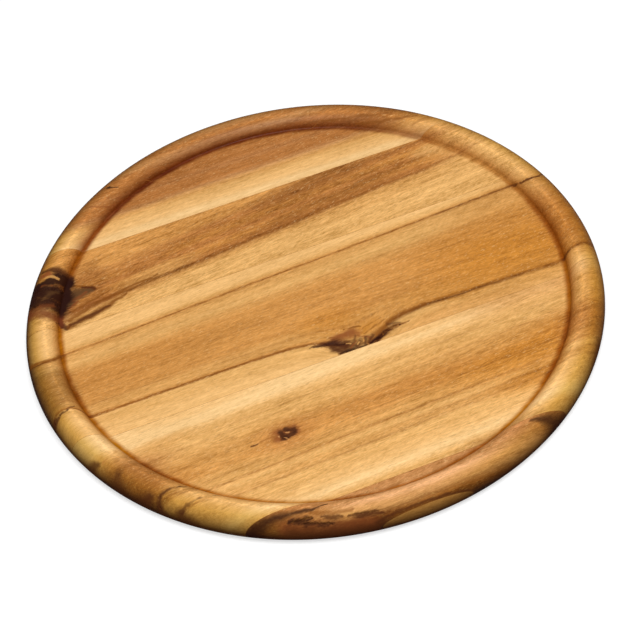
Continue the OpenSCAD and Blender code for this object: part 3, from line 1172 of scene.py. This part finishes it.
CENTRE = StaveWood(
    tones=(
        (-50, SAP), (-43, SAP), (-36, GOLD), (-30.6, GOLD), (-29.4, UMBER), (-28.2, AMBER),
        (-26.6, HONEY), (-22, HONEY), (-17, AMBER), (-6, AMBER), (0, AMBER), (8, AMBER), (13, HONEY),
        (17, GOLD), (25.3, HONEY), (27.2, AMBER), (30, GOLD), (33, SAP), (42, SAP)),
    tilt=0.0101, fan=0.00107, sag=-0.00006, rise=0.35, rise_fan=0.0363, twist=-0.000126, waver=0.8,
    feather=1.2, seed=7.9,
    lines=(
        Line(26.9, 0.75, 0.88, -160, 160, PEAT), Line(26.9, 0.7, 0.4, 95, 160, DARK),
        Line(26.9, 1, 0.8, -170, -142, DARK, fade=6), Line(-29.2, 0.95, 0.85, -160, -35, PEAT, 1.6),
        Line(-30.2, 1.5, 0.9, 42, 160, PEAT, 2.5), Line(-30.4, 0.7, 0.6, 40, 95, DARK),
        Line(18.5, 0.6, 0.25, -125, -30), Line(13, 0.6, 0.25, -60, 90), Line(-20, 0.7, 0.35, -160, -60),
        Line(-21, 0.6, 0.6, -170, -142, fade=4), Line(-16, 0.7, 0.3, -60, 40),
        Line(-23, 0.7, 0.4, -50, 30), Line(-10, 0.7, 0.25, 40, 150), Line(-4, 0.6, 0.3, -60, 10),
        Line(3, 0.6, 0.25, 60, 150)),
    patches=(
        Patch(122, -10, 52, 24, FLAME, 0.85), Patch(2, -19, 17, 7, FLAME, 0.6, soft=0.8),
        Patch(92, 20, 32, 6, GOLD, 0.55), Patch(70, -40, 46, 5, AMBER, 0.6),
        Patch(70, -24, 44, 6, FLAME, 0.45), Patch(150, 34, 14, 7, HONEY, 0.7, 13),
        Patch(75, -5, 18, 4, ORANGE, 0.4), Patch(75, -31, 18, 3, FLAME, 0.45),
        Patch(125, 12, 40, 14, AMBER, 0.5, 10), Patch(-112, 0, 42, 8, ORANGE, 0.45),
        Patch(-156, -3, 17, 26, OLIVE, 0.65, 13, soft=0.3),
        Patch(158, -4, 20, 33, BROWN, 0.55, 12, soft=0.3)),
    trails=(
        Trail(flat, ((17.5, -34, 4.2), (24.5, -32, 4)), FLAME, 0.6, 0.9, 0.8),
        Trail(flat, ((16.5, -36.6, 0.4), (22, -34.4, 0.6), (30, -31.8, 0.3)), PEAT, 0.6, 0.9, 1.4),
        Trail(flat, ((15.5, -33, 0.3), (21, -31.2, 0.5), (28, -29.8, 0.3)), PEAT, 0.5, 0.9, 1.4),
        Trail(flat, ((-1, -32.6, 1.6), (10, -32, 2.2)), RED, 0.85, 0.9, 1.2),
        Trail(flat, ((1, -34.4, 2), (13, -34.6, 2)), RED, 0.7, 0.9, 1.2),
        Trail(flat, ((-6, -34.6, 2.4), (-1, -38, 4), (3, -42.6, 3)), PEAT, 0.6, 0.9, 0.9),
        Trail(flat, ((2, -40.6, 3.8), (16, -41.2, 3)), ASH, 0.75, 0.7, 1.4),
        Trail(flat, ((-3, -41, 2), (9, -43.2, 1.6)), DARK, 0.55, 0.9, 1.8),
        Trail(flat, ((-15, -33.4, 0.2), (-8, -34.4, 1.3), (-2, -36, 3), (3.4, -39.4, 2.6)),
              WINE, 0.85, 0.8, 0.9),
        Trail(flat, ((-24, -33.6, 0.1), (-14, -34.1, 0.1), (-7, -34.8, 0.5), (-1.7, -36, 1.8),
              (3, -38.6, 0.9)), strength=0.7, soft=0.9, ragged=0.8),
        Trail(flat, ((-4, -37.5, 1.1), (-0.4, -43.6, 1.6)), DARK, 0.85, 0.8, 1),
        Trail(flat, ((-1, -44.2, 0.5), (4, -44.9, 1.3), (9, -45, 1), (14, -45, 0.8)), soft=0.7),
        Trail(flat, ((16, -44.4, 2), (20.7, -43, 2.4), (24.5, -41.2, 2.4), (29.2, -39.4, 2),
              (36, -38.8, 1.1), (42, -39.2, 0.3)), PEAT, 0.8, 0.8, 0.9),
        Trail(flat, ((17, -44.6, 1.2), (20.7, -43.3, 1.5), (24.5, -41.4, 1.5), (29.2, -39.6, 1.3),
              (33.8, -39, 0.7), (38.5, -39.2, 0.15)), WINE, 0.95, 0.7),
        Trail(flat, ((17, -44.6, 0.9), (21.2, -43.1, 1.1), (25, -41.1, 1), (31, -39.4, 0.5)),
              strength=0.85, soft=0.7),
        Trail(flat, ((21, -39.4, 1.4), (26, -37, 1.3), (32, -34.6, 1.1), (41, -32.4, 1),
              (54, -31, 0.9)), PEAT, 0.75, 0.9, 1),
        Trail(flat, ((30, -36, 1.1), (36.5, -37.4, 0.8)), DARK, 0.6, 0.8),
        Trail(flat, ((6.8, -40.4, 0.8), (10.9, -35.8, 0.7)), DARK, 0.6, 0.9),
        Trail(flat, ((12.6, -36, 0.6), (14.6, -38, 0.7), (17.6, -41.4, 0.8)), RED, 0.7, 0.9),
        Trail(flat, ((16.2, -43.6, 0.9), (19.6, -39.4, 0.8)), DARK, 0.75, 0.9),
        Trail(flat, ((2.2, -43.2, 1), (5.6, -38.4, 0.7)), DARK, 0.7, 0.9),
        Trail(flat, ((8.6, -43.6, 0.8), (12.8, -38.6, 0.6)), DARK, 0.75, 0.9),
        Trail(flat, ((12.9, -43.8, 0.7), (15.8, -39.6, 0.6)), DARK, 0.65, 0.9),
        Trail(flat, ((5.6, -43.4, 0.6), (9.2, -38.8, 0.5)), RED, 0.7, 0.9),
        Trail(flat, ((7, -28.8, 0.5), (15.4, -30.4, 0.8)), PEAT, 0.8),
        Trail(flat, ((4.4, -39.4, 0.5), (5.8, -40, 0.4)), HONEY, 0.8),
        Trail(flat, ((9.6, -42, 0.5), (11, -40.4, 0.4)), HONEY, 0.8),
        Trail(flat, ((13.2, -41.6, 0.5), (14.6, -38.6, 0.4)), AMBER, 0.8),
        Trail(bead, ((188.3, 172, 0.5), (188.4, 120, 0.5), (188.9, 90, 0.6), (189.3, 60, 1.2),
              (189.6, 28, 2.2)), DARK, 0.85),
        Trail(bead, ((170.8, 176, 1.1), (172.3, 150, 1), (174.1, 118, 1), (174.5, 90, 1),
              (174.2, 60, 1.1), (173.4, 32, 1.7)), PEAT, 0.9, 0.7),
        Trail(bead, ((13.2, 176, 1), (11.2, 135, 0.6), (10.1, 100, 0.5), (9.6, 72, 0.45)), DARK, 0.75),
        Trail(bead, ((345.4, 176, 1), (346.3, 140, 0.7), (346.9, 95, 0.4)), DARK, 0.65)),
    bends=(
        Bend((12, -42, 8), 22, 14, dip=13),),
    hollows=(
        Hollow(flat, ((-2, -44.5), (4, -44.9), (10, -45)), 1.2, 1.1),
        Hollow(flat, ((18, -44.5), (21.7, -43), (25, -40.9), (29.2, -39), (34.5, -38.8)), 1.2, 1.4),
        Hollow(flat, ((-5, -35.4), (-1, -36.4), (2.5, -38)), 1.6, 0.7),
        Hollow(bead, ((189.2, 62), (189.5, 30)), 0.8, 0.7)),
)

FRONT = StaveWood(
    tones=(
        (-138, SAP), (-131, GOLD), (-126, CREAM), (-120, SAP), (-113.5, GOLD), (-109, GOLD),
        (-105, HONEY), (-101, GOLD), (-98, HONEY), (-93, HONEY), (-86, AMBER), (-79, AMBER),
        (-73, HONEY), (-66, GOLD), (-60.5, GOLD), (-57, SAP), (-53, CREAM), (-44, CREAM)),
    tilt=0.03, rise=0.1, feather=2.6, figure=1.3, grain=1.2, seed=9.4,
    lines=(
        Line(-97.8, 0.7, 0.7, -100, 110), Line(-107.5, 0.8, 0.5, -80, 120, skirt=3),
        Line(-96, 0.7, 0.7, -150, -104, fade=5), Line(-107, 0.7, 0.7, -150, -100, fade=5),
        Line(-78.5, 0.7, 0.3, 10, 60), Line(-71, 0.6, 0.35, 30, 140), Line(-75.5, 0.6, 0.4, -66, -28),
        Line(-62.5, 0.7, 0.35, -70, 120, skirt=3), Line(-88, 0.8, 0.4, 0, 140, skirt=3),
        Line(-81, 0.7, 0.35, -20, 120), Line(-92, 0.6, 0.3, -100, -20), Line(-103.5, 0.6, 0.4, 20, 120),
        Line(-66.5, 0.6, 0.3, -120, -40)),
    patches=(
        Patch(-128, -67, 22, 7, BROWN, 0.55), Patch(-82, -79, 18, 6, HONEY, 0.6),
        Patch(-82, -44, 34, 4, SAP, 0.7), Patch(-110, -58, 16, 4, HONEY, 0.5),
        Patch(0, -89, 16, 4, AMBER, 0.4), Patch(52, -134, 22, 3.5, PEAT, 0.35, 11),
        Patch(-88, -98, 30, 9, GOLD, 0.5), Patch(-130, -82, 17, 17, UMBER, 0.8, 12, soft=0.5),
        Patch(95, -88, 52, 13, FLAME, 0.8, high=6), Patch(124, -88, 14, 12, BROWN, 0.6, 14),
        Patch(96, -107, 34, 6, FLAME, 0.75, high=5), Patch(144, -58, 16, 20, FLAME, 0.45, 13),
        Patch(72, -77, 30, 5, HONEY, 0.5), Patch(30, -82, 40, 6, ORANGE, 0.45),
        Patch(112, -49, 42, 9, AMBER, 0.7, high=6), Patch(45, -69, 24, 4.5, HONEY, 0.6),
        Patch(46, -48, 26, 4, SAP, 0.8), Patch(-47.5, -83, 14, 9, BROWN, 0.45)),
    trails=(
        Trail(flat, ((-51, -83.2, 4.2), (-44, -83, 3.8)), RED, 0.85, ragged=1.1),
        Trail(flat, ((-50, -81.8, 1.9), (-49.4, -85.6, 1.7)), strength=0.8, soft=0.6, ragged=1),
        Trail(flat, ((-47, -80.4, 1.4), (-43.4, -82.3, 1.9)), strength=0.8, soft=0.6, ragged=1),
        Trail(flat, ((-47.4, -85.6, 1.6), (-43.8, -84.6, 1.4)), strength=0.75, soft=0.6, ragged=1),
        Trail(flat, ((-52.3, -83.2, 0.5), (-51.8, -83.4, 0.5)), TAN, 0.95, ragged=0.5),
        Trail(flat, ((-46.8, -82.8, 0.6), (-46.2, -83, 0.5)), TAN, 0.95, ragged=0.5),
        Trail(flat, ((-48.3, -87.4, 0.35), (-49.2, -84.8, 0.3)), TAN, 0.8, ragged=0.5),
        Trail(flat, ((-66.3, -83.9, 0.75), (-63.4, -83.6, 0.7)), DARK, 0.85),
        Trail(flat, ((-62.5, -82.6, 0.4), (-54, -82.3, 0.8)), UMBER, 0.7, 0.8, 1),
        Trail(flat, ((-41, -82, 0.8), (-34.5, -81.6, 0.4)), UMBER, 0.7, 0.8, 1),
        Trail(bead, ((222.3, 128, 0.6), (220.2, 95, 0.7), (219, 62, 1.1), (219.4, 30, 1.8),
              (220.2, 0, 2.6)), DARK, 0.85, 0.7),
        Trail(bead, ((229.4, 136, 0.6), (226.7, 95, 0.7), (224.7, 60, 0.8), (223.9, 32, 1.2)),
              DARK, 0.65, 0.7), Trail(bead, ((204.6, 120, 0.8), (204.8, 60, 1)), BROWN, 0.5, 0.9),
        Trail(bead, ((203.8, 46, 1.6), (202.5, -5, 5.6)), DARK, 0.8, 0.9, 1.2),
        Trail(bead, ((209, 56, 2.2), (210, -5, 6.6)), DARK, 0.7, 0.9, 1.2),
        Trail(bead, ((217, 44, 2.4), (216, -5, 6)), DARK, 0.85, 0.9, 1.2),
        Trail(bead, ((224, 26, 2.8), (225.5, -5, 5)), DARK, 0.75, 0.9, 1.2),
        Trail(bead, ((322, 22, 2), (317, -5, 5)), DARK, 0.6, 0.9, 1.2)),
    bends=(
        Bend((-47.5, -83, 8), 14, 8, part=3.5),),
    hollows=(
        Hollow(flat, ((-50, -82), (-49.5, -85.4)), 1.2, 0.5),
        Hollow(flat, ((-46.6, -80.8), (-43.8, -82.3)), 1, 0.5),
        Hollow(bead, ((219, 55), (219.6, 20)), 0.8, 0.5)),
)

FRONT_EDGE = StaveWood(
    tones=(
        (-162, DARK), (-157.5, UMBER), (-154.5, BROWN), (-151, ROSE), (-147, BLUSH), (-142, BLUSH),
        (-138.5, TAN), (-128, CLAY)),
    rise=0.6, waver=2, feather=2.2, figure=1.3, grain=1.3, seed=12.6,
    lines=(
        Line(-136.5, 0.6, 0.3, -60, 70), Line(-141, 0.7, 0.4, -40, 60), Line(-147, 0.6, 0.35, -10, 70),
        Line(-151.5, 0.6, 0.35, 0, 60)),
    patches=(
        Patch(-76, -141, 24, 15, BROWN, 0.8), Patch(-45, -155, 26, 6, RED, 0.85, soft=0.5, ragged=1.2),
        Patch(82, -139, 12, 10, BROWN, 0.6)),
    trails=(
        Trail(bead, ((237.2, -5, 6), (238.2, 25, 4.6), (240.6, 55, 3.2), (244, 76, 2), (248, 92, 1),
              (251.5, 112, 0.4)), strength=0.85, soft=0.9, ragged=1),
        Trail(bead, ((244, 32, 3.6), (259, 24, 3.4)), RED, 0.8, 0.9, 1.6),
        Trail(bead, ((245, 12, 4.8), (262, 6, 3.5)), DARK, 0.8, 0.9, 1.4),
        Trail(bead, ((244.6, 52, 1.2), (246.6, 60, 1.6), (248.6, 66, 0.8)),
              strength=0.85, soft=0.7, ragged=1.8),
        Trail(bead, ((247.4, 47, 1.4), (250, 44.5, 1.2), (252.4, 43, 0.8)),
              strength=0.75, soft=0.8, ragged=1.8),
        Trail(bead, ((250.6, 66, 0.8), (252.6, 61, 1.4), (254, 60, 0.9)), DARK, 0.8, 0.8, 1.8),
        Trail(bead, ((255.5, 62, 0.7), (258.4, 59.5, 1.2), (261, 60, 0.6)), DARK, 0.8, 0.8, 1.8),
        Trail(bead, ((257, 55, 0.9), (259.6, 52, 1.3), (262, 50, 0.6)), DARK, 0.8, 0.8, 1.8),
        Trail(bead, ((248, 82, 0.9), (252, 75, 1.1), (256, 78, 0.8)), PEAT, 0.6, 0.9, 1.8),
        Trail(bead, ((260, 22, 1), (264, 40, 0.9), (269, 45, 0.8), (274, 40, 0.9), (278, 20, 1)),
              DARK, 0.75, 0.8, 0.8),
        Trail(bead, ((296.6, 84, 0.8), (298.4, 62, 2.4), (299.6, 40, 4.2), (300.2, 15, 6),
              (300.6, -5, 7.4)), strength=0.8, soft=0.9, ragged=1)),
    hollows=(
        Hollow(bead, ((245, 52), (248.4, 66)), 1.1, 0.7),
        Hollow(bead, ((247.2, 47), (252, 43)), 1.2, 0.6), Hollow(bead, ((256, 62), (260, 59)), 0.7, 0.4)),
)

SLIVER = StaveWood(
    tones=(
        (-164, STRAW), (-152, STRAW)),
    rise=0.3, waver=1, seed=15.2,
)


@dataclass(frozen=True)
class PizzaBoard:
    """The board: seven staves and the glue between them, cut from one turned blank."""

    joints: tuple[float, ...] = (131.5, 93.0, 38.0, -45.3, -133.3, -158.0)
    glue: float = 0.15
    beyond: float = 400.0
    woods: tuple[tuple[str, StaveWood], ...] = (
        ("back_edge_stave", BACK_EDGE), ("back_stave", BACK), ("rim_knot_stave", RIM_KNOT),
        ("centre_stave", CENTRE), ("front_stave", FRONT), ("front_edge_stave", FRONT_EDGE),
        ("front_sliver", SLIVER))

    def build(self) -> list[bpy.types.Object]:
        """Builds and dresses every piece.

        Returns:
            The pieces.
        """
        blank = TurnedBlank().build()
        finish = OiledWood()
        film = GlueFilm().make()
        edges = [self.beyond, *self.joints, -self.beyond]
        half = self.glue / 2
        cuts = []
        for (node, wood), back, front in zip(self.woods, edges, edges[1:]):
            slot = "wood_" + node.removesuffix("_stave")
            cut = BoardSlice(node, slot, (front + half) * MM, (back - half) * MM, wood.hollows)
            cuts.append((cut, finish.make(slot, wood)))
        for number, joint in enumerate(self.joints, start=1):
            cut = BoardSlice(f"glue_line_{number}", "glue", (joint - half) * MM, (joint + half) * MM)
            cuts.append((cut, film))
        pieces = []
        for cut, material in cuts:
            pieces.append(cut.build(blank))
            pieces[-1].data.materials.clear()
            pieces[-1].data.materials.append(material)
        bpy.data.objects.remove(blank, do_unlink=True)
        return pieces


def main() -> None:
    """Builds the board, then the studio."""
    logging.basicConfig(level=logging.INFO, format="%(name)s: %(message)s")
    for piece in PizzaBoard().build():
        LOG.info("%s: %d faces", piece.name, len(piece.data.polygons))
    Studio().build()


if __name__ == "__main__":
    main()
